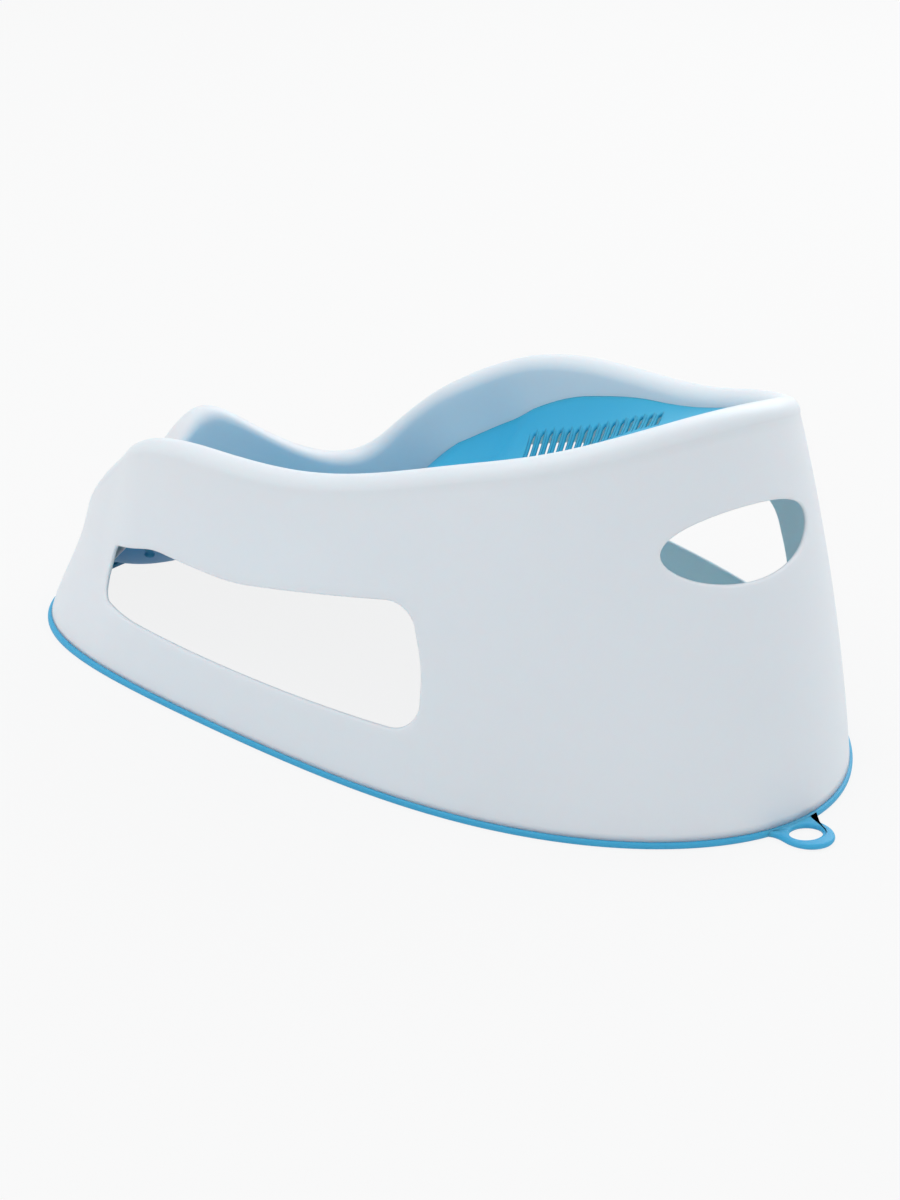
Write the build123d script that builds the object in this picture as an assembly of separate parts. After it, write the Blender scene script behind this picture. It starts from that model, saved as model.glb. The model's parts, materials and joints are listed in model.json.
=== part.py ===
from build123d import *
import os
from math import cos, exp, radians, sin, sqrt

# Baby bath seat: a rigid ring-shaped frame with a rolled rim, a soft dished seat inside it,
# a soft grip ring under the frame's foot edge with a hanging loop, and two push-in studs.
# Millimetres. +Z up, +Y towards the head end, +X the sitter's right when facing the foot end.

# Frame plan
floor_length = 560.0        # head to foot along the floor
floor_width = 396.0         # nominal width of the floor outline
top_length = 565.0          # the same two at plan_height above the floor
top_width = 339.0
top_setback = 72.0          # how far the upper outline sits towards the foot
plan_height = 200.0
wall_bulge = 4.6            # outward crown of the wall at half of plan_height
knee_tuck = 11.0            # the foot half's wall stands in from its flared foot edge, at 130 degrees
calf_tuck = 8.0             # at 150 degrees
front_tuck = 9.0            # at the foot centre
flare_height = 50.0         # height over which the foot edge flares out
floor_form = (-0.20, 0.38, -0.21)   # egg shape of the floor outline, pure numbers
top_form = (0.077, -0.29, 0.469)      # egg shape of the upper outline, pure numbers

# Rim crest heights above the floor, by angle round the plan from the head centre
head_height = 234.0
shoulder_height = 205.0     # at 45 degrees
arm_height = 171.0          # at 75 degrees
hip_height = 157.0          # at 100 degrees
thigh_height = 123.0        # at 120 degrees
knee_height = 84.0          # at 135 degrees
leg_gap_height = 46.0       # at 158 degrees, where the legs pass
front_height = 91.0         # at the foot centre

# Frame section
wall = 3.0
lip_radius = 9.0
lap = 5.0                   # inner leg below the seat's edge

# Soft parts
seat_thickness = 3.0
seat_clearance = 1.7        # between the seat's edge and the inner leg
grip_height = 4.0
grip_reach = 1.4            # how far the grip ring stands out past the wall
grip_width = 8.0

# Side window, in the side view
window_front = -157.0
window_rear = 128.5
window_sill_front = 37.5
window_sill_rear = 45.0
window_head_front = 71.0
window_head_knee = 88.5      # at window_knee
window_head_middle = 92.8   # at window_middle
window_head_rear = 120.5
window_knee = -100.0
window_middle = -20.0
window_rake = 20.0          # how far the rear edge leans towards the foot
window_corner = 12.0

# Carrying slot in the head wall
slot_width = 125.0
slot_height = 40.5
slot_centre_height = 163.0
slot_end_round = 7.0

# Hanging loop
loop_radius = 17.5
loop_offset = 12.0          # loop centre past the floor outline
loop_hole_width = 23.0
loop_hole_depth = 17.0
loop_neck_width = 52.0

# Drain slots in the seat, a row at each side of the dish
drain_count = 15
drain_pitch = 8.4
drain_length = 25.0
drain_width = 3.2
drain_row_x = 131.0
drain_row_start = -97.0
drain_slant = 36.0          # degrees

# Push-in studs under the leg troughs
stud_radius = 4.2
stud_length = 7.0
stud_x = 120.0
stud_y = -196.0
stud_clearance = 0.2


def smooth(stations, value):
    """Shape-keeping cubic through (place, height) stations."""
    xs = [s[0] for s in stations]
    ys = [s[1] for s in stations]
    n = len(xs)
    d = [(ys[i + 1] - ys[i]) / (xs[i + 1] - xs[i]) for i in range(n - 1)]
    m = [0.0] * n
    for i in range(1, n - 1):
        if d[i - 1] * d[i] > 0:
            h0 = xs[i] - xs[i - 1]
            h1 = xs[i + 1] - xs[i]
            m[i] = 3 * (h0 + h1) / ((2 * h1 + h0) / d[i - 1] + (h1 + 2 * h0) / d[i])
    if value <= xs[0]:
        return ys[0]
    if value >= xs[-1]:
        return ys[-1]
    i = max(k for k in range(n - 1) if xs[k] <= value)
    h = xs[i + 1] - xs[i]
    u = (value - xs[i]) / h
    return (ys[i] * (1 + 2 * u) * (1 - u) ** 2 + m[i] * h * u * (1 - u) ** 2
            + ys[i + 1] * u * u * (3 - 2 * u) + m[i + 1] * h * u * u * (u - 1))


rim = [(0, head_height), (45, shoulder_height), (75, arm_height), (100, hip_height),
       (120, thigh_height), (135, knee_height), (158, leg_gap_height), (180, front_height)]
# Seat edge below the rim crest, by the same angle
drop = [(0, 11.0), (50, 11.0), (80, 15.0), (95, 24.0), (115, 36.0), (135, 31.0), (158, 25.0),
        (180, 30.0)]


def folded(angle):
    a = abs(angle) % 360.0
    return 360.0 - a if a > 180.0 else a


def crest(angle):
    return smooth(rim, folded(angle))


def seat_edge(angle):
    return crest(angle) - smooth(drop, folded(angle))


tuck = [(104, 0.0), (130, knee_tuck), (150, calf_tuck), (180, front_tuck)]


def ring(width, length, shift, form, angle):
    t = radians(angle)
    c = cos(t)
    x = width / 2 * sin(t) * (1 + form[0] * c + form[1] * c ** 2 + form[2] * c ** 3)
    return x, length / 2 * c - shift


def on_wall(angle, z):
    """Point of the outer wall at this angle and height, before centring."""
    u = z / plan_height
    x0, y0 = ring(floor_width, floor_length, 0.0, floor_form, angle)
    x1, y1 = ring(top_width, top_length, top_setback, top_form, angle)
    rise = min(1.0, z / flare_height)
    b = wall_bulge * 4 * u * (1 - u) - smooth(tuck, folded(angle)) * rise * rise * (3 - 2 * rise)
    t = radians(angle)
    return x0 + (x1 - x0) * u + b * sin(t), y0 + (y1 - y0) * u + b * cos(t)


def inward(angle, z):
    xa, ya = on_wall(angle - 0.5, z)
    xb, yb = on_wall(angle + 0.5, z)
    n = sqrt((xb - xa) ** 2 + (yb - ya) ** 2)
    return (yb - ya) / n, -(xb - xa) / n


# The origin is under the middle of the whole length, loop included
y_head = floor_length / 2 + loop_offset + loop_radius
y_foot = on_wall(180.0, front_height - lip_radius)[1]
shift = -(y_head + y_foot) / 2


def wall_point(angle, z, inset=0.0):
    x, y = on_wall(angle, z)
    nx, ny = inward(angle, z)
    return Vector(x + nx * inset, y + ny * inset + shift, z)


def section(angle):
    """Closed inverted-J section of the frame in an upright plane across the wall."""
    top = crest(angle) - lip_radius
    nx, ny = inward(angle, top)
    base = wall_point(angle, grip_height)
    a0 = wall_point(angle, top)
    mid = wall_point(angle, (grip_height + top) / 2)
    # keep the wall's middle in the plane of base, shoulder and inward direction
    half = (base + a0) * 0.5
    out = Vector(-nx, -ny, 0)
    swell = (mid - half).dot(out)
    mid = half + out * swell
    inn = Vector(nx, ny, 0)
    rise = a0 - base
    up = (rise - inn * rise.dot(inn)).normalized()
    crown = a0 + inn * lip_radius + up * lip_radius
    a1 = a0 + inn * (2 * lip_radius)
    leg = seat_edge(angle) - lap
    lean = (a0 - base) * (1 / (a0.Z - base.Z))
    a2 = a1 - lean * (top - leg)
    b2 = a2 - inn * wall
    b1 = a1 - inn * wall
    crown_in = crown - up * wall
    b0 = a0 + inn * wall
    mid_in = mid + inn * wall
    base_in = base + inn * wall
    edges = [ThreePointArc(base, mid, a0), ThreePointArc(a0, crown, a1), Line(a1, a2),
             Line(a2, b2), Line(b2, b1), ThreePointArc(b1, crown_in, b0),
             ThreePointArc(b0, mid_in, base_in), Line(base_in, base)]
    return Face(Wire(edges))


def closed_outline(z, inset, steps=72):
    pts = [wall_point(360.0 * i / steps, z, inset) for i in range(steps)]
    return Wire([Spline(*[Vector(p.X, p.Y, 0) for p in pts], periodic=True)])


# Frame: one half lofted past the middle plane, trimmed there and mirrored
angles = [-12, 0, 12, 25, 38, 50, 62, 74, 86, 98, 108, 117, 126, 135, 144, 153, 162, 171, 180, 189]
half_ring = Solid.make_loft([section(a).outer_wire() for a in angles])
span = floor_length * 2
right_half = half_ring & Pos(span / 2, 0, 0) * Box(span, span, span)
frame = right_half + mirror(right_half, about=Plane.YZ)

# Side windows, cut straight across the frame
corners = [(window_front, window_sill_front), (window_rear, window_sill_rear),
           (window_rear - window_rake, window_head_rear), (window_middle, window_head_middle),
           (window_knee, window_head_knee), (window_front + 3.0, window_head_front)]
window_line = FilletPolyline(*[(0, y + shift, z) for y, z in corners], radius=window_corner, close=True)
window = extrude(Face(Wire(window_line.edges())), amount=floor_width, dir=(1, 0, 0), both=True)
inner_keep = extrude(Face(closed_outline(window_sill_front, 30.0)), amount=crest(0), dir=(0, 0, 1))
frame = frame - (window - inner_keep)

# Carrying slot, a lens of two arcs with small round ends
slot_face = Plane.XZ * (SlotOverall(slot_width, slot_end_round * 2) + Ellipse(slot_width / 2, slot_height / 2))
head_y = wall_point(0.0, slot_centre_height).Y
slot_cut = Pos(0, head_y, slot_centre_height) * extrude(slot_face, amount=60.0, both=True)
frame = frame - slot_cut

# Seat: a dished sheet, lofted through cross-sections whose ends lie on the inner leg's line
dish = [(-318, 0.0), (-290, 4.0), (-265, 10.0), (-220, 22.0), (-175, 42.0), (-130, 60.0), (-90, 58.0),
        (-40, 48.0), (26, 22.0), (110, 8.0), (178, 0.0)]
pommel = [(-310, 0.0), (-290, 1.0), (-258, 8.0), (-225, 12.0), (-180, 10.0), (-110, 0.0)]
pommel_half_width = 48.0
seat_angles = [11, 18, 27, 38, 50, 62, 74, 86, 97, 107, 117, 126, 134, 142, 150, 158, 165, 171]
seat_across = [-1.0, -0.86, -0.7, -0.5, -0.25, 0.0, 0.25, 0.5, 0.7, 0.86, 1.0]


def seat_height(x, half, edge, place):
    """Top of the seat across one section: a dish that gets steeper sides, and the front pommel."""
    sharp = 2 + 2 * smooth([(-60, 1.0), (60, 0.0)], place)
    q = min(1.0, abs(x) / half)
    rise = exp(-(x / pommel_half_width) ** 2) - exp(-(half / pommel_half_width) ** 2)
    return edge - smooth(dish, place) * (1 - q ** sharp) + smooth(pommel, place) * rise


def seat_section(angle):
    p = wall_point(angle, seat_edge(angle), 2 * lip_radius + seat_clearance)
    half = abs(p.X)
    tops = [Vector(k * half, p.Y, seat_height(k * half, half, p.Z, p.Y - shift)) for k in seat_across]
    down = Vector(0, 0, seat_thickness)
    lows = [t - down for t in reversed(tops)]
    return Wire([Spline(*tops), Line(tops[-1], lows[0]), Spline(*lows), Line(lows[-1], tops[0])])


def seat_at(x, y):
    """Height of the seat's top by searching the section that passes this place."""
    lo, hi = 0.0, 180.0
    for _ in range(40):
        mid = (lo + hi) / 2
        if wall_point(mid, seat_edge(mid), 2 * lip_radius + seat_clearance).Y > y:
            lo = mid
        else:
            hi = mid
    p = wall_point(lo, seat_edge(lo), 2 * lip_radius + seat_clearance)
    return seat_height(x, abs(p.X), p.Z, p.Y - shift)


seat = Solid.make_loft([seat_section(a) for a in seat_angles])

drains = []
for side in (-1, 1):
    for i in range(drain_count):
        y = drain_row_start + drain_pitch * i + shift
        spot = Pos(side * drain_row_x, y, 0) * Rot(0, 0, -side * drain_slant)
        drains.append(spot * extrude(SlotOverall(drain_length, drain_width), amount=head_height, dir=(0, 0, 1)))
seat = seat - drains

# Grip ring under the wall with the hanging loop
outer = closed_outline(0.0, -grip_reach)
inner = closed_outline(0.0, grip_width - grip_reach)
grip = extrude(Face(outer) - Face(inner), amount=grip_height, dir=(0, 0, 1))
loop_y = floor_length / 2 + loop_offset + shift
edge_y = floor_length / 2 + shift - grip_width / 2
plate = Pos(0, loop_y, 0) * Circle(loop_radius)
tangent = loop_radius * 0.9
neck = make_face(Polyline((-loop_neck_width / 2, edge_y), (loop_neck_width / 2, edge_y),
                          (tangent, loop_y), (-tangent, loop_y), close=True))
loop_hole = Pos(0, loop_y, 0) * Ellipse(loop_hole_width / 2, loop_hole_depth / 2)
loop_face = (plate + neck) - loop_hole
loop = extrude(loop_face, amount=grip_height, dir=(0, 0, 1)) - extrude(Face(inner), amount=grip_height, dir=(0, 0, 1))
grip = grip + loop

# Studs
studs = []
for side in (-1, 1):
    zt = seat_at(side * stud_x, stud_y + shift) - seat_thickness - stud_clearance
    shank = Pos(side * stud_x, stud_y + shift, zt - stud_length / 2) * Cylinder(stud_radius, stud_length)
    shank = fillet(shank.edges().group_by(Axis.Z)[0], stud_radius * 0.85)
    studs.append((shank - seat).solids().sort_by(SortBy.VOLUME)[-1])

os.makedirs("parts", exist_ok=True)
export_step(frame, "parts/frame_shell.step")
export_step(seat, "parts/seat_membrane.step")
export_step(grip, "parts/base_grip.step")
export_step(studs[0], "parts/stud_left.step")
export_step(studs[1], "parts/stud_right.step")
print("frame", frame.volume, "seat", seat.volume, "grip", grip.volume, "shift", shift)
print("box", Compound([frame, seat, grip]).bounding_box())
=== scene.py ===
import json
import bmesh
import bpy
import numpy as np
from mathutils import Matrix, Vector

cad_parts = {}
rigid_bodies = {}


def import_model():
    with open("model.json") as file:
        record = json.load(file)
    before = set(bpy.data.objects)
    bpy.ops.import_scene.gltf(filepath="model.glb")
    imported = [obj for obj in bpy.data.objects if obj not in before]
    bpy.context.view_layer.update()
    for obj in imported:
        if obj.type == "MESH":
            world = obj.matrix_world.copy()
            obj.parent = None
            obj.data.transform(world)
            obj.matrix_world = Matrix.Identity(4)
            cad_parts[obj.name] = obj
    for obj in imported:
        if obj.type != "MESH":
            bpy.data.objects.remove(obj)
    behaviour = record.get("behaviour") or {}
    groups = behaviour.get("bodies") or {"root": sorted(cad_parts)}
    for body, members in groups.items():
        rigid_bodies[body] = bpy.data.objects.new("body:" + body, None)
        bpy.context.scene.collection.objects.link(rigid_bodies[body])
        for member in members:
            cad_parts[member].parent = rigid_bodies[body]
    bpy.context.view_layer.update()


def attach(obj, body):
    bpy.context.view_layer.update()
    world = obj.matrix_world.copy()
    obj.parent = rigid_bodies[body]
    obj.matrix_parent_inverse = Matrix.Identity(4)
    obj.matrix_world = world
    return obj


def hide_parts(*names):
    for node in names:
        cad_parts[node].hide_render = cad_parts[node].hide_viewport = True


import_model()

plan = {
    "floorLength": 560.0, "floorWidth": 396.0,     # outline on the floor, mm
    "topLength": 565.0, "topWidth": 339.0,         # outline at planHeight
    "topSetback": 72.0, "planHeight": 200.0,
    "wallBulge": 4.6, "flareHeight": 50.0,
    "tuck": [(108, 0), (126, 11), (140, 9.5), (156, 7.5), (180, 6.5)],   # wall set in over the foot flare
    "floorForm": (-0.20, 0.38, -0.21), "topForm": (0.077, -0.29, 0.469),
    "loopOffset": 12.0, "loopRadius": 17.5,
    "centring": -1.752,                            # along y, puts the origin under the middle of the box
}
shell = {
    "rim": [(0, 234), (45, 205), (75, 171), (100, 157), (120, 125), (135, 89), (158, 46), (180, 94.5)],
    "drop": [(0, 11), (50, 11), (80, 15), (95, 24), (115, 37), (135, 36), (158, 29), (180, 44)],
    "wall": 3.0, "lipRadius": 10.0, "lap": 5.0, "base": 4.0,
    "columns": 480, "wallRows": 48,
}


def smooth(stations, value):
    # shape-keeping cubic through (place, height) stations: Hermite pieces with harmonic slopes
    xs = np.array([s[0] for s in stations], float)
    ys = np.array([s[1] for s in stations], float)
    h = np.diff(xs)
    d = np.diff(ys) / h
    m = np.zeros(len(xs))
    for i in range(1, len(xs) - 1):
        if d[i - 1] * d[i] > 0:
            m[i] = 3 * (h[i - 1] + h[i]) / ((2 * h[i] + h[i - 1]) / d[i - 1] + (h[i] + 2 * h[i - 1]) / d[i])
    x = np.clip(value, xs[0], xs[-1])
    i = np.clip(np.searchsorted(xs, x, side="right") - 1, 0, len(xs) - 2)
    u = (x - xs[i]) / h[i]
    low = ys[i] * (1 + 2 * u) * (1 - u) ** 2 + m[i] * h[i] * u * (1 - u) ** 2
    return low + ys[i + 1] * u * u * (3 - 2 * u) + m[i + 1] * h[i] * u * u * (u - 1)


def folded(angle):
    return np.abs((np.asarray(angle, float) + 180.0) % 360.0 - 180.0)


def crest(angle):
    # mean of the stations' curve over a few degrees, which takes the last kinks out of it
    spread = (-6.0, -3.0, 0.0, 3.0, 6.0)
    return sum(smooth(shell["rim"], folded(angle + a)) for a in spread) / len(spread)


def seatEdge(angle):
    return crest(angle) - smooth(shell["drop"], folded(angle))


def ring(width, length, setback, form, angle):
    # egg outline: x = half width * sin t * cubic in cos t, y = half length * cos t - setback
    t = np.radians(angle)
    c = np.cos(t)
    x = width / 2 * np.sin(t) * (1 + form[0] * c + form[1] * c ** 2 + form[2] * c ** 3)
    return x, length / 2 * c - setback


def onWall(angle, z):
    # straight blend between the floor and the upper outline plus a parabola-shaped outward crown
    u = z / plan["planHeight"]
    x0, y0 = ring(plan["floorWidth"], plan["floorLength"], 0.0, plan["floorForm"], angle)
    x1, y1 = ring(plan["topWidth"], plan["topLength"], plan["topSetback"], plan["topForm"], angle)
    rise = np.clip(z / plan["flareHeight"], 0.0, 1.0)
    setIn = smooth(plan["tuck"], folded(angle)) * rise * rise * (3 - 2 * rise)
    b = plan["wallBulge"] * 4 * u * (1 - u) - setIn
    t = np.radians(angle)
    return x0 + (x1 - x0) * u + b * np.sin(t), y0 + (y1 - y0) * u + b * np.cos(t)


def inward(angle, z):
    xa, ya = onWall(angle - 0.5, z)
    xb, yb = onWall(angle + 0.5, z)
    n = np.hypot(xb - xa, yb - ya)
    return (yb - ya) / n, -(xb - xa) / n


yShift = plan["centring"]


def wallPoint(angle, z, inset=0.0):
    # place on the outer wall moved inwards by inset, as an array of points
    angle, z, inset = np.broadcast_arrays(np.asarray(angle, float), z, inset)
    x, y = onWall(angle, z)
    nx, ny = inward(angle, z)
    return np.stack([x + nx * inset, y + ny * inset + yShift, z], -1)


def lipFrame(angle):
    # shoulder point, inward and upward directions at the foot of the rolled rim
    top = crest(angle) - shell["lipRadius"]
    nx, ny = inward(angle, top)
    inn = np.stack([nx, ny, np.zeros_like(nx)], -1)
    rise = wallPoint(angle, top + 0.5) - wallPoint(angle, top - 0.5)
    up = rise - inn * np.sum(rise * inn, -1, keepdims=True)
    up /= np.linalg.norm(up, axis=-1, keepdims=True)
    return top, wallPoint(angle, top), inn, up


def legPoint(angle, z, inset=0.0):
    # bowl-side face of the rolled rim's inner leg at this height
    top, shoulder, inn, up = lipFrame(angle)
    down = ((top - z) / up[..., 2])[..., None]
    return shoulder + inn * (2 * shell["lipRadius"] + inset) - up * down


def gridFaces(index):
    # quads between neighbouring entries of a two-way index array
    return np.stack([index[:-1, :-1], index[1:, :-1], index[1:, 1:], index[:-1, 1:]], -1).reshape(-1, 4)


class Skin:
    # collects patches of points as grids of quads and welds them into one closed mesh
    def __init__(self):
        self.points = []
        self.faces = []
        self.count = 0

    def patch(self, points, keep=None):
        index = np.arange(points.shape[0] * points.shape[1]).reshape(points.shape[:2]) + self.count
        faces = gridFaces(index)
        if keep is not None:
            faces = faces[keep.ravel()]
        self.points.append(points.reshape(-1, 3))
        self.faces.append(faces)
        self.count += index.size

    def piece(self, name, nodes):
        verts = np.concatenate(self.points) / 1000.0
        faces = np.concatenate(self.faces)
        mesh = bpy.data.meshes.new(name)
        mesh.from_pydata(verts.tolist(), [], faces.tolist())
        work = bmesh.new()
        work.from_mesh(mesh)
        bmesh.ops.remove_doubles(work, verts=work.verts[:], dist=2e-6)
        bmesh.ops.dissolve_degenerate(work, edges=work.edges[:], dist=1e-6)
        loose = [v for v in work.verts if not v.link_faces]
        bmesh.ops.delete(work, geom=loose, context="VERTS")
        bmesh.ops.recalc_face_normals(work, faces=work.faces[:])
        openEdges = sum(1 for e in work.edges if not e.is_manifold)
        work.to_mesh(mesh)
        work.free()
        mesh.shade_smooth()
        obj = bpy.data.objects.new(name, mesh)
        bpy.context.scene.collection.objects.link(obj)
        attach(obj, "root")
        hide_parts(*nodes)
        print(name, len(mesh.polygons), "faces,", openEdges, "open edges")
        return obj


def resample(points, count):
    # evenly spaced points along a polyline, the last one left out
    step = np.hypot(*np.diff(points, axis=0).T)
    along = np.concatenate([[0.0], np.cumsum(step)])
    place = np.linspace(0.0, along[-1], count + 1)[:-1]
    return np.stack([np.interp(place, along, points[:, k]) for k in (0, 1)], -1)


def matched(outline, corners, counts):
    # outline points dealt out side by side, so that each faces its own point of the block's edge
    sides = []
    for k in range(4):
        a = corners[k]
        b = corners[(k + 1) % 4]
        run = outline[a:b + 1] if b > a else np.concatenate([outline[a:], outline[:b + 1]])
        sides.append(resample(run, counts[k]))
    return np.concatenate(sides)


def grown(outline, amount):
    # closed outline moved outwards along its own normals (it runs anticlockwise)
    along = np.roll(outline, -1, 0) - np.roll(outline, 1, 0)
    along /= np.linalg.norm(along, axis=1, keepdims=True)
    return outline + amount * np.stack([along[:, 1], -along[:, 0]], -1)


def holeCorners(outline, centre):
    # the four places of the outline that face the block's corners
    away = outline - centre
    spread = np.abs(away).max(0)
    marks = []
    for sx, sy in ((-1, -1), (1, -1), (1, 1), (-1, 1)):
        marks.append(int(np.argmax(away[:, 0] * sx / spread[0] + away[:, 1] * sy / spread[1])))
    return marks


def opening(skin, edge, outline, counts, place, thick, layers=8, turns=6):
    # a hole through a sheet: rings from the block's edge to the outline on both faces, and a rounded rim
    # between them. place(points, depth) turns flat points into space
    radius = thick / 2
    marks = holeCorners(outline, outline.mean(0))
    rimLine = matched(grown(outline, radius), marks, counts)
    bare = matched(outline, marks, counts)
    outwards = rimLine - bare
    share = np.linspace(0.0, 1.0, layers + 1)[:, None, None]
    for depth in (0.0, thick):
        rings = edge[None] * (1 - share) + rimLine[None] * share
        rings = np.concatenate([rings, rings[:, :1]], 1)
        skin.patch(place(rings, depth))
    turn = np.linspace(0.0, np.pi, turns + 1)[:, None]
    strip = bare[None] + outwards[None] * (1 - np.sin(turn))[..., None]
    strip = np.concatenate([strip, strip[:, :1]], 1)
    depth = np.broadcast_to(radius * (1 - np.cos(turn)), strip.shape[:2])
    skin.patch(place(strip, depth))


def blockEdge(grid, i0, i1, j0, j1):
    # anticlockwise walk round a block of grid points, with the number of steps on each side
    if grid[i0, j0, 0] > grid[i1, j0, 0]:
        grid = grid[::-1]
        i0, i1 = len(grid) - 1 - i1, len(grid) - 1 - i0
    low = grid[i0:i1, j0]
    right = grid[i1, j0:j1]
    high = grid[i1:i0:-1, j1]
    left = grid[i0, j1:j0:-1]
    return np.concatenate([low, right, high, left]), (i1 - i0, j1 - j0, i1 - i0, j1 - j0)


def roundedLine(corners, count=24):
    # closed outline with a circular fillet of its own radius at each corner
    pts = []
    n = len(corners)
    for k in range(n):
        here = np.array(corners[k][:2], float)
        back = np.array(corners[k - 1][:2], float) - here
        ahead = np.array(corners[(k + 1) % n][:2], float) - here
        back /= np.linalg.norm(back)
        ahead /= np.linalg.norm(ahead)
        half = np.arccos(np.clip(back @ ahead, -1, 1)) / 2
        radius = corners[k][2]
        centre = here + (back + ahead) / np.linalg.norm(back + ahead) * radius / np.sin(half)
        a = np.arctan2(*(here + back * radius / np.tan(half) - centre)[::-1])
        b = np.arctan2(*(here + ahead * radius / np.tan(half) - centre)[::-1])
        sweep = (b - a + np.pi) % (2 * np.pi) - np.pi
        arc = a + sweep * np.linspace(0.0, 1.0, count)
        pts.append(centre + radius * np.stack([np.cos(arc), np.sin(arc)], -1))
    line = np.concatenate(pts)
    line = np.concatenate([line, line[:1]])
    return resample(line, 400)


# side window in the side view (y before centring, z), with the fillet radius of each corner
sideWindow = {
    "corners": [(-158, 37.5, 12), (128.5, 44.5, 17), (123, 84, 90), (107.5, 120.5, 20), (-20, 93.5, 220),
                (-100, 88.5, 90), (-154, 71, 9)],
    "between": (46, 127), "rows": (5, 40),         # angles and grid rows of the block that holds it
}
headSlot = {"width": 125.0, "height": 40.5, "centre": 163.0, "halfBlock": 27, "rows": (26, 43)}

print("frame shell")
count = shell["columns"]
turnStep = 360.0 / count
angles = np.arange(count + 1) * turnStep
rows = np.linspace(0.0, 1.0, shell["wallRows"] + 1)
rimBase, shoulder, inn, up = lipFrame(angles)
wallZ = shell["base"] + (rimBase - shell["base"])[:, None] * rows
wallGrid = np.stack([np.broadcast_to(angles[:, None], wallZ.shape), wallZ], -1)


def angleAt(y, z, side):
    # angle of the wall place with this y, by halving the range between head and foot
    low = np.zeros_like(y)
    high = np.full_like(y, 180.0)
    for _ in range(40):
        mid = (low + high) / 2
        past = wallPoint(mid, z)[..., 1] > y
        low = np.where(past, mid, low)
        high = np.where(past, high, mid)
    return low if side > 0 else 360.0 - low


def angleAcross(x, z):
    # angle near the head centre of the wall place with this x
    low = np.full_like(x, -60.0)
    high = np.full_like(x, 60.0)
    for _ in range(40):
        mid = (low + high) / 2
        past = wallPoint(mid, z)[..., 0] < x
        low = np.where(past, mid, low)
        high = np.where(past, high, mid)
    return low


def sidePlane(grid):
    return np.stack([wallPoint(grid[..., 0], grid[..., 1])[..., 1] - yShift, grid[..., 1]], -1)


def windowPlace(side):
    def place(flat, depth):
        angle = angleAt(flat[..., 0] + yShift, flat[..., 1], side)
        return wallPoint(angle, flat[..., 1], depth)
    return place


def slotPlace(flat, depth):
    return wallPoint(angleAcross(flat[..., 0], flat[..., 1]), flat[..., 1], depth)


frameSkin = Skin()
wallKeep = np.ones((count, shell["wallRows"]), bool)
windowLine = roundedLine(sideWindow["corners"])
for side in (1, -1):
    i0, i1 = (int(a / turnStep) for a in sideWindow["between"])
    if side < 0:
        i0, i1 = count - i1, count - i0
    j0, j1 = sideWindow["rows"]
    wallKeep[i0:i1, j0:j1] = False
    edge, counts = blockEdge(sidePlane(wallGrid), i0, i1, j0, j1)
    opening(frameSkin, edge, windowLine, counts, windowPlace(side), shell["wall"])
across = int(headSlot["halfBlock"] / turnStep)
slotRows = headSlot["rows"]
theta = np.linspace(0.0, 2 * np.pi, 401)[:-1]
lens = np.stack([np.cos(theta) * headSlot["width"] / 2, np.sin(theta) * headSlot["height"] / 2], -1)
lens[:, 1] += headSlot["centre"]
wrapped = np.concatenate([wallGrid[count - across:count] - [360.0, 0.0], wallGrid[:across + 1]])
slotFlat = np.stack([wallPoint(wrapped[..., 0], wrapped[..., 1])[..., 0], wrapped[..., 1]], -1)
edge, counts = blockEdge(slotFlat, 0, 2 * across, *slotRows)
opening(frameSkin, edge, lens, counts, slotPlace, shell["wall"])
wallKeep[count - across:, slotRows[0]:slotRows[1]] = False
wallKeep[:across, slotRows[0]:slotRows[1]] = False

outerWall = wallPoint(wallGrid[..., 0], wallGrid[..., 1])
innerWall = wallPoint(wallGrid[..., 0], wallGrid[..., 1], shell["wall"])
frameSkin.patch(outerWall, wallKeep)
frameSkin.patch(innerWall, wallKeep)


def arcRow(turn, radius, centre):
    turn = turn[None, :, None]
    return centre[:, None] - inn[:, None] * radius * np.cos(turn) + up[:, None] * radius * np.sin(turn)


lip = shell["lipRadius"]
lipCentre = shoulder + inn * lip
lipTurn = np.linspace(0.0, np.pi, 25)
frameSkin.patch(arcRow(lipTurn, lip, lipCentre))
frameSkin.patch(arcRow(lipTurn, lip - shell["wall"], lipCentre))
legLow = seatEdge(angles) - shell["lap"]
legRows = np.linspace(0.0, 1.0, 9)
legFall = up * ((rimBase - legLow) / up[:, 2])[:, None]
legTop = shoulder + inn * 2 * lip
legFace = legTop[:, None] - legFall[:, None] * legRows[None, :, None]
frameSkin.patch(legFace)
frameSkin.patch(legFace - inn[:, None] * shell["wall"])
footTurn = np.linspace(0.0, np.pi, 9)
legFoot = legFace[:, -1] - inn * shell["wall"] / 2
frameSkin.patch(arcRow(np.pi + footTurn, shell["wall"] / 2, legFoot))
frameSkin.patch(np.stack([outerWall[:, 0], innerWall[:, 0]], 1))
frameSkin.piece("frameShell", ["frame_shell"])

print("seat")
seat = {
    "thickness": 3.0, "clearance": 0.15,
    "dish": [(-318, 0), (-290, 3), (-265, 7), (-220, 16), (-175, 35), (-130, 57), (-90, 58), (-40, 48),
             (26, 22), (110, 8), (178, 0)],
    "pommel": [(-310, 0), (-290, 1), (-258, 8), (-225, 12), (-180, 10), (-110, 0)],
    "pommelHalfWidth": 48.0,
    "drains": 15, "drainPitch": 8.4, "drainLength": 25.0, "drainWidth": 2.6,
    "drainX": 131.0, "drainStart": -97.0, "drainSlant": 36.0,
    "bandHalf": 13.5, "rowsPerDrain": 6, "fadeLength": 40.0,   # strip of the grid that holds the drains
}
edgeAngles = np.linspace(0.4, 179.6, 720)
edgePoints = legPoint(edgeAngles, seatEdge(edgeAngles), seat["clearance"])
edgeY = edgePoints[::-1, 1] - yShift
edgeX = edgePoints[::-1, 0]
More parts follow.
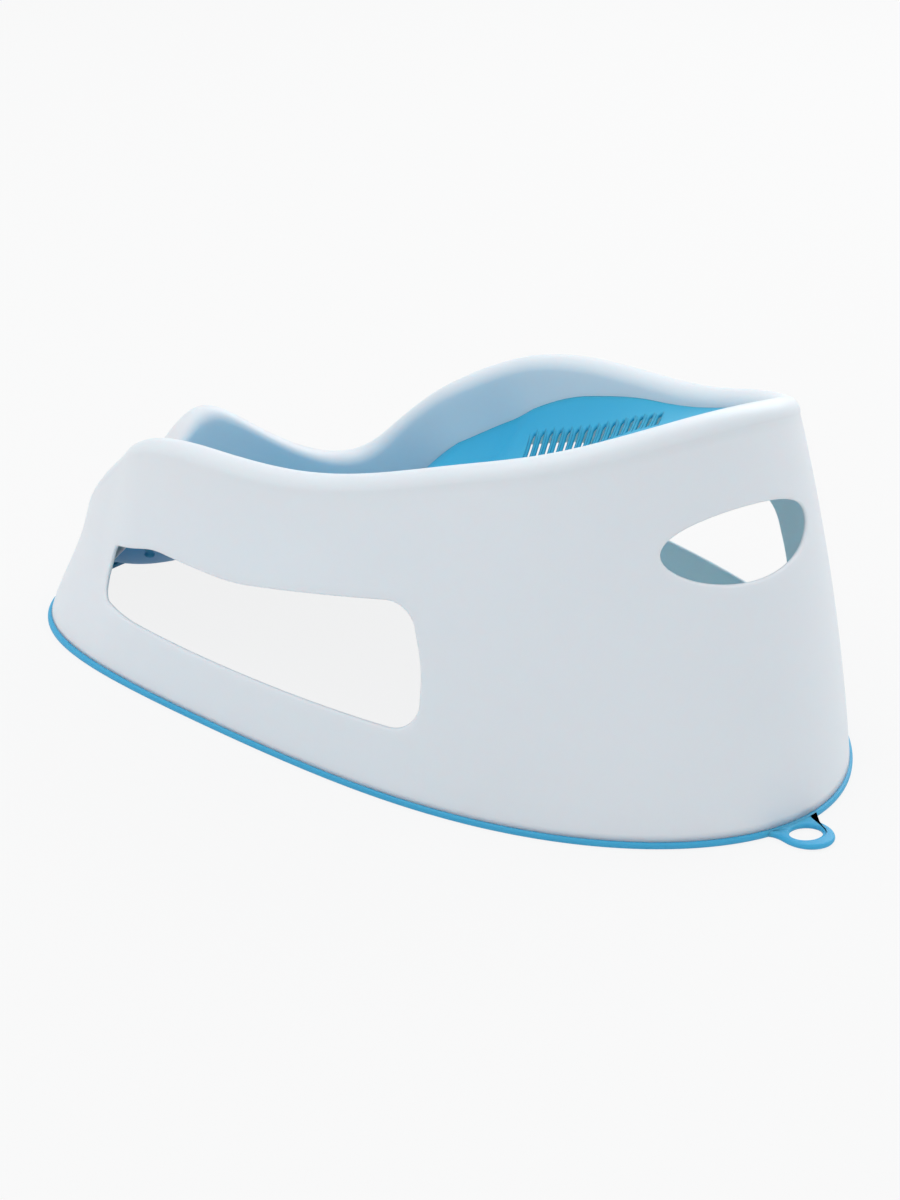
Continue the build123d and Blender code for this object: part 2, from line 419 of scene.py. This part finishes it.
edgeZ = edgePoints[::-1, 2]


def seatHeight(x, y):
    # edge height less a dish whose sides get steeper towards the foot, plus a bell-shaped pommel
    half = np.interp(y, edgeY, edgeX)
    sharp = 2 + 2 * smooth([(-60, 1.0), (60, 0.0)], y)
    q = np.clip(np.abs(x) / half, 0.0, 1.0)
    w = seat["pommelHalfWidth"]
    rise = np.exp(-(x / w) ** 2) - np.exp(-(half / w) ** 2)
    level = np.interp(y, edgeY, edgeZ) - smooth(seat["dish"], y) * (1 - q ** sharp)
    return level + smooth(seat["pommel"], y) * rise


def seatPlace(flat, depth):
    # the sheet's own upward normal gives the place below the top face
    x, y = flat[..., 0], flat[..., 1]
    z = seatHeight(x, y)
    sx = (seatHeight(x + 0.5, y) - seatHeight(x - 0.5, y))
    sy = (seatHeight(x, y + 0.5) - seatHeight(x, y - 0.5))
    n = np.stack([-sx, -sy, np.ones_like(sx)], -1)
    n /= np.linalg.norm(n, axis=-1, keepdims=True)
    top = np.stack([x, y + yShift, z], -1)
    return top - n * np.asarray(depth)[..., None]


perDrain = seat["rowsPerDrain"]
bandHalf = seat["bandHalf"]
fadeLength = seat["fadeLength"]
rowStep = seat["drainPitch"] / perDrain
zoneLow = seat["drainStart"] - 3 * rowStep
zoneHigh = zoneLow + seat["drains"] * seat["drainPitch"]
footEnd = edgeY[0]
headEnd = edgeY[-1]
swing = np.linspace(0.0, np.pi / 2, 61)[:-1]
footRows = zoneLow - (zoneLow - footEnd) * np.cos(swing)
headRows = zoneHigh + (headEnd - zoneHigh) * np.sin(np.linspace(0.0, np.pi / 2, 61)[1:])
zoneRows = zoneLow + rowStep * np.arange(seat["drains"] * perDrain + 1)
rowY = np.concatenate([footRows, zoneRows, headRows])
rowHalf = np.interp(rowY, edgeY, edgeX)
bandLow = np.minimum(seat["drainX"] - bandHalf, 0.78 * rowHalf)
bandHigh = np.minimum(seat["drainX"] + bandHalf, 0.965 * rowHalf)
centre = np.linspace(-1.0, 1.0, 41)[None] * bandLow[:, None]
bandCols = np.linspace(0.0, 1.0, 15)[1:]
band = bandLow[:, None] + (bandHigh - bandLow)[:, None] * bandCols
rimCols = np.linspace(0.0, 1.0, 13)[1:]
outer = bandHigh[:, None] + (rowHalf - bandHigh)[:, None] * rimCols
colX = np.concatenate([-outer[:, ::-1], -band[:, ::-1], centre, band, outer], 1)
fade = smooth([(zoneLow - fadeLength, 0.0), (zoneLow, 1.0)], rowY)
fade = fade * smooth([(zoneHigh, 1.0), (zoneHigh + fadeLength, 0.0)], rowY)
away = np.abs(colX) - seat["drainX"]
slope = np.tan(np.radians(seat["drainSlant"]))
hold = smooth([(-64, 0.0), (-bandHalf, 1.0)], away)
rimHold = (rowHalf[:, None] - np.abs(colX)) / np.maximum(rowHalf - bandHigh, 1e-6)[:, None]
hold = hold * np.clip(rimHold, 0.0, 1.0)
slide = -slope * np.clip(away, -bandHalf, bandHalf) * hold * fade[:, None]   # slants the rows
seatFlat = np.stack([colX, rowY[:, None] + slide], -1).transpose(1, 0, 2)
seatSkin = Skin()
seatKeep = np.ones((seatFlat.shape[0] - 1, seatFlat.shape[1] - 1), bool)
length, width = seat["drainLength"], seat["drainWidth"]
theta = np.linspace(0.0, 2 * np.pi, 241)[:-1]
stadium = np.stack([np.cos(theta), np.sin(theta)], -1) * width / 2
stadium[:, 0] += np.sign(np.cos(theta)) * (length - width) / 2
nOuter, nBand = len(rimCols), len(bandCols)
for side in (-1, 1):
    i0 = nOuter if side < 0 else seatFlat.shape[0] - 1 - nOuter - nBand
    i1 = i0 + nBand
    tilt = np.radians(-side * seat["drainSlant"])
    turned = stadium @ np.array([[np.cos(tilt), np.sin(tilt)], [-np.sin(tilt), np.cos(tilt)]])
    for k in range(seat["drains"]):
        j0 = len(footRows) + perDrain * k + 1
        j1 = j0 + 4
        seatKeep[i0:i1, j0:j1] = False
        middle = np.array([side * seat["drainX"], seat["drainStart"] + seat["drainPitch"] * k])
        edge, counts = blockEdge(seatFlat, i0, i1, j0, j1)
        opening(seatSkin, edge, turned + middle, counts, seatPlace, seat["thickness"], layers=3, turns=4)
seatSkin.patch(seatPlace(seatFlat, np.zeros(seatFlat.shape[:2])), seatKeep)
seatSkin.patch(seatPlace(seatFlat, np.full(seatFlat.shape[:2], seat["thickness"])), seatKeep)
rimDepth = np.linspace(0.0, seat["thickness"], 5)
for line in (seatFlat[0], seatFlat[:, -1], seatFlat[-1][::-1], seatFlat[:, 0][::-1]):
    flat = np.broadcast_to(line[:, None], (len(line), 5, 2))
    seatSkin.patch(seatPlace(flat, np.broadcast_to(rimDepth, (len(line), 5))))
seatSkin.piece("seatMembrane", ["seat_membrane"])

print("grip ring and loop")
grip = {
    "height": 4.0, "reach": 1.4, "width": 8.0, "round": 1.5,
    "holeWidth": 23.0, "holeDepth": 17.0, "loopHeight": 3.7,
    "neckLength": 11.5, "neckFlare": 13.0, "neckPower": 2.6, "neckLean": 0.5, "softening": 60,
}


def roundedSection(width, height, radius, turns=6):
    # closed rounded-rectangle section as (across, up) pairs
    pts = []
    corners = ((radius, radius), (width - radius, radius), (width - radius, height - radius),
               (radius, height - radius))
    for k, (cx, cz) in enumerate(corners):
        arc = np.pi + k * np.pi / 2 + np.linspace(0.0, np.pi / 2, turns)
        pts.append(np.stack([cx + radius * np.cos(arc), cz + radius * np.sin(arc)], -1))
    line = np.concatenate(pts)
    return np.concatenate([line, line[:1]])


section = roundedSection(grip["width"], grip["height"], grip["round"])
gripAngles = np.linspace(0.0, 360.0, 481)
base = wallPoint(gripAngles[:, None], 0.0, section[None, :, 0] - grip["reach"])
base[..., 2] = section[None, :, 1]
gripSkin = Skin()
gripSkin.patch(base)

# the loop is a flat plate between its hole and an outline that flares into the ring by a power curve
loopY = plan["floorLength"] / 2 + plan["loopOffset"] + yShift
radius = plan["loopRadius"]
turn = np.linspace(-0.12 * np.pi, 1.12 * np.pi, 90)
cap = np.stack([radius * np.cos(turn), radius * np.sin(turn)], -1)
low = np.linspace(0.0, 1.0, 24)[1:]
start = cap[-1]
spread = grip["neckLean"] * low + grip["neckFlare"] * low ** grip["neckPower"]
flare = np.stack([start[0] - spread, start[1] - grip["neckLength"] * low], -1)
loopLine = np.concatenate([cap, flare, flare[::-1] * [-1, 1]])
loopLine = resample(np.concatenate([loopLine, loopLine[:1]]), 240)
for _ in range(grip["softening"]):
    loopLine = (np.roll(loopLine, 1, 0) + 2 * loopLine + np.roll(loopLine, -1, 0)) / 4   # rounds its corners
theta = np.unwrap(np.arctan2(loopLine[:, 1], loopLine[:, 0]))
evenly = theta[0] + 2 * np.pi * np.arange(len(theta)) / len(theta)
theta = 0.25 * theta + 0.75 * evenly   # keeps the hole's points apart where the neck crowds them
hole = np.stack([np.cos(theta) * grip["holeWidth"] / 2, np.sin(theta) * grip["holeDepth"] / 2], -1)
loopH = grip["loopHeight"]
edgeR = loopH / 2
bulge = np.linspace(0.0, np.pi, 9)
inner = np.stack([grown(hole, edgeR * (1 - np.sin(b))) for b in bulge])
outer = np.stack([grown(loopLine, -edgeR * (1 - np.sin(b))) for b in bulge[::-1]])
outline = np.concatenate([inner, outer, inner[:1]])
heights = np.concatenate([edgeR * (1 - np.cos(bulge)), edgeR * (1 - np.cos(bulge[::-1])), [0.0]])
outline = np.concatenate([outline, outline[:, :1]], 1)
loop = np.concatenate([outline, np.broadcast_to(heights[:, None, None], outline.shape[:2] + (1,))], -1)
loop[..., 1] += loopY
gripSkin.patch(loop)
gripSkin.piece("baseGrip", ["base_grip"])

print("studs")
stud = {
    "x": 120.0, "y": -196.0, "radius": 4.2, "stretch": 1.3, "sink": 0.6,
    "profile": [(0.0, 0.0), (0.9, 0.0), (1.0, -0.8), (1.0, -2.4), (0.72, -3.2), (0.7, -4.2), (0.86, -5.0),
                (0.8, -6.0), (0.45, -6.8), (0.0, -7.0)],     # (share of the radius, mm below the seat)
}
for side, name, node in ((-1, "studLeft", "stud_left"), (1, "studRight", "stud_right")):
    under = float(seatHeight(np.array(side * stud["x"]), np.array(stud["y"]))) - seat["thickness"]
    top = under + stud["sink"]
    profile = np.array(stud["profile"]) * [stud["radius"], stud["stretch"]]
    spin = np.linspace(0.0, 2 * np.pi, 49)
    pts = np.stack([side * stud["x"] + np.cos(spin)[:, None] * profile[None, :, 0],
                    stud["y"] + yShift + np.sin(spin)[:, None] * profile[None, :, 0],
                    np.broadcast_to(top + profile[None, :, 1], (49, len(profile)))], -1)
    studSkin = Skin()
    studSkin.patch(pts)
    studSkin.piece(name, [node])

print("materials")


class Signal:
    # wraps a socket so that plain arithmetic adds its own Math nodes
    def __init__(self, look, socket):
        self.look = look
        self.socket = socket

    def join(self, operation, first, second):
        return self.look.node("ShaderNodeMath", {"operation": operation}, {0: first, 1: second})

    def __add__(self, other):
        return self.join("ADD", self, other)

    __radd__ = __add__

    def __mul__(self, other):
        return self.join("MULTIPLY", self, other)

    __rmul__ = __mul__

    def __sub__(self, other):
        return self.join("SUBTRACT", self, other)

    def __rsub__(self, other):
        return self.join("SUBTRACT", other, self)


class Look:
    # the emptied node tree of a material or a world, and the one method that adds its nodes
    def __init__(self, owner):
        self.owner = owner
        owner.use_nodes = True
        self.tree = owner.node_tree
        self.tree.nodes.clear()

    def feed(self, socket, value):
        if isinstance(value, Signal):
            self.tree.links.new(value.socket, socket)
        else:
            socket.default_value = value

    def node(self, kind, settings, sockets, out=0):
        made = self.tree.nodes.new(kind)
        for key, value in settings.items():
            setattr(made, key, value)
        for key, value in sockets.items():
            self.feed(made.inputs[key], value)
        return Signal(self, made.outputs[out]) if made.outputs else None

    def finish(self, surface, kind="ShaderNodeOutputMaterial"):
        self.node(kind, {}, {"Surface": surface})
        return self.owner


def moulded(name, settings):
    # moulded polymer: faint cloudiness in the colour, a fine grain in gloss and surface
    look = Look(bpy.data.materials.new(name))
    place = look.node("ShaderNodeTexCoord", {}, {}, "Object")
    cloud = look.node("ShaderNodeTexNoise", {}, {"Vector": place, "Scale": 9.0, "Detail": 3.0})
    grain = look.node("ShaderNodeTexNoise", {}, {
        "Vector": place, "Scale": settings["grainScale"], "Detail": 2.0})
    colour = look.node("ShaderNodeMix", {"data_type": "RGBA"}, {
        0: cloud, 6: (*settings["dark"], 1.0), 7: (*settings["pale"], 1.0)}, 2)
    rough = settings["rough"] + settings["roughSpread"] * (grain - 0.5)
    bump = look.node("ShaderNodeBump", {}, {
        "Strength": settings["bump"], "Distance": 0.0002, "Height": grain})
    surface = look.node("ShaderNodeBsdfPrincipled", {}, {
        "Base Color": colour, "Roughness": rough, "Normal": bump, "IOR": 1.49,
        "Subsurface Weight": settings["depth"], "Subsurface Scale": 0.012,
        "Subsurface Radius": settings["glow"],
        "Coat Weight": settings["coat"], "Coat Roughness": 0.35})
    return look.finish(surface)


framePlastic = moulded("framePlastic", {
    "dark": (0.705, 0.78, 0.845), "pale": (0.73, 0.80, 0.865), "grainScale": 900.0, "rough": 0.42,
    "roughSpread": 0.10, "bump": 0.12, "depth": 0.5, "glow": (0.4, 0.85, 1.0), "coat": 0.0})
seatRubber = moulded("seatRubber", {
    "dark": (0.018, 0.375, 0.61), "pale": (0.025, 0.40, 0.65), "grainScale": 700.0, "rough": 0.52,
    "roughSpread": 0.12, "bump": 0.2, "depth": 0.3, "glow": (0.1, 0.7, 1.0), "coat": 0.0})
gripRubber = moulded("gripRubber", {
    "dark": (0.030, 0.34, 0.60), "pale": (0.042, 0.38, 0.64), "grainScale": 700.0, "rough": 0.5,
    "roughSpread": 0.12, "bump": 0.2, "depth": 0.3, "glow": (0.1, 0.7, 1.0), "coat": 0.0})
finishes = {"frame": framePlastic, "seat": seatRubber, "base": gripRubber, "stud": gripRubber}
for obj in bpy.data.objects:
    for word, finish in finishes.items():
        if obj.type == "MESH" and obj.name.startswith(word):
            obj.data.materials.clear()
            obj.data.materials.append(finish)

print("studio")
studio = {
    "floor": (0.93, 0.93, 0.93, 1.0), "floorReach": 6.0,
    "paper": (0.939, 0.939, 0.939, 1.0), "paperShare": 0.92,     # what the camera sees of the backdrop
    "sky": (0.96, 0.98, 1.0, 1.0), "skyStrength": 0.80,
    "aim": (0.0, 0.0, 0.1),
    "lamps": {"keyLamp": {"place": (0.5, -0.4, 2.4), "size": 2.0, "power": 20.0},
              "backLamp": {"place": (-2.2, -0.6, 1.5), "size": 1.8, "power": 22.0}},
}


floorLook = Look(bpy.data.materials.new("studioFloor"))
plain = floorLook.node("ShaderNodeBsdfDiffuse", {}, {"Color": studio["floor"]})
paper = floorLook.node("ShaderNodeEmission", {}, {"Color": studio["paper"], "Strength": 1.0})
seen = floorLook.node("ShaderNodeLightPath", {}, {}, "Is Camera Ray")
glossy = floorLook.node("ShaderNodeLightPath", {}, {}, "Is Glossy Ray")
floorSurface = floorLook.node("ShaderNodeMixShader", {}, {
    0: (seen + glossy) * studio["paperShare"], 1: plain, 2: paper})
reach = studio["floorReach"]
floorMesh = bpy.data.meshes.new("studioFloor")
floorMesh.from_pydata([(-reach, -reach, 0), (reach, -reach, 0), (reach, reach, 0), (-reach, reach, 0)], [],
                      [(0, 1, 2, 3)])
floorMesh.materials.append(floorLook.finish(floorSurface))
studioFloor = bpy.data.objects.new("studioFloor", floorMesh)
bpy.context.scene.collection.objects.link(studioFloor)

world = Look(bpy.data.worlds.new("studio"))
soft = world.node("ShaderNodeBackground", {}, {"Color": studio["sky"], "Strength": studio["skyStrength"]})
bright = world.node("ShaderNodeBackground", {}, {"Color": studio["paper"], "Strength": 1.0})
direct = world.node("ShaderNodeLightPath", {}, {}, "Is Camera Ray")
blend = world.node("ShaderNodeMixShader", {}, {0: direct, 1: soft, 2: bright})
bpy.context.scene.world = world.finish(blend, "ShaderNodeOutputWorld")

for name, settings in studio["lamps"].items():
    lamp = bpy.data.lights.new(name, "AREA")
    lamp.shape = "RECTANGLE"
    lamp.size = settings["size"]
    lamp.size_y = settings["size"]
    lamp.energy = settings["power"]
    obj = bpy.data.objects.new(name, lamp)
    bpy.context.scene.collection.objects.link(obj)
    obj.location = settings["place"]
    towards = Vector(studio["aim"]) - Vector(settings["place"])
    obj.rotation_euler = towards.to_track_quat("-Z", "Y").to_euler()

print("camera")
shot = {
    "focal": 2820.0, "frameHeight": 1200.0, "sensor": 36.0,      # the first two in the frame's own pixels
    "place": (1.1686, 1.2204, 0.7585),
    "right": (-0.7466, 0.6622, 0.0645), "forward": (-0.6298, -0.6722, -0.3891),
}
camera = bpy.data.cameras.new("camera")
camera.sensor_fit = "VERTICAL"
camera.sensor_height = shot["sensor"]
camera.lens = shot["focal"] / shot["frameHeight"] * shot["sensor"]
camera.clip_start = 0.05
camera.clip_end = 30.0
view = bpy.data.objects.new("camera", camera)
bpy.context.scene.collection.objects.link(view)
right = Vector(shot["right"]).normalized()
forward = Vector(shot["forward"]).normalized()
upward = right.cross(forward).normalized()
turned = Matrix((right, upward, -forward)).transposed().to_4x4()
x, y, z = shot["place"]
view.matrix_world = Matrix.Translation((x, y + yShift / 1000, z)) @ turned
bpy.context.scene.camera = view
bpy.context.scene.view_settings.view_transform = "Standard"

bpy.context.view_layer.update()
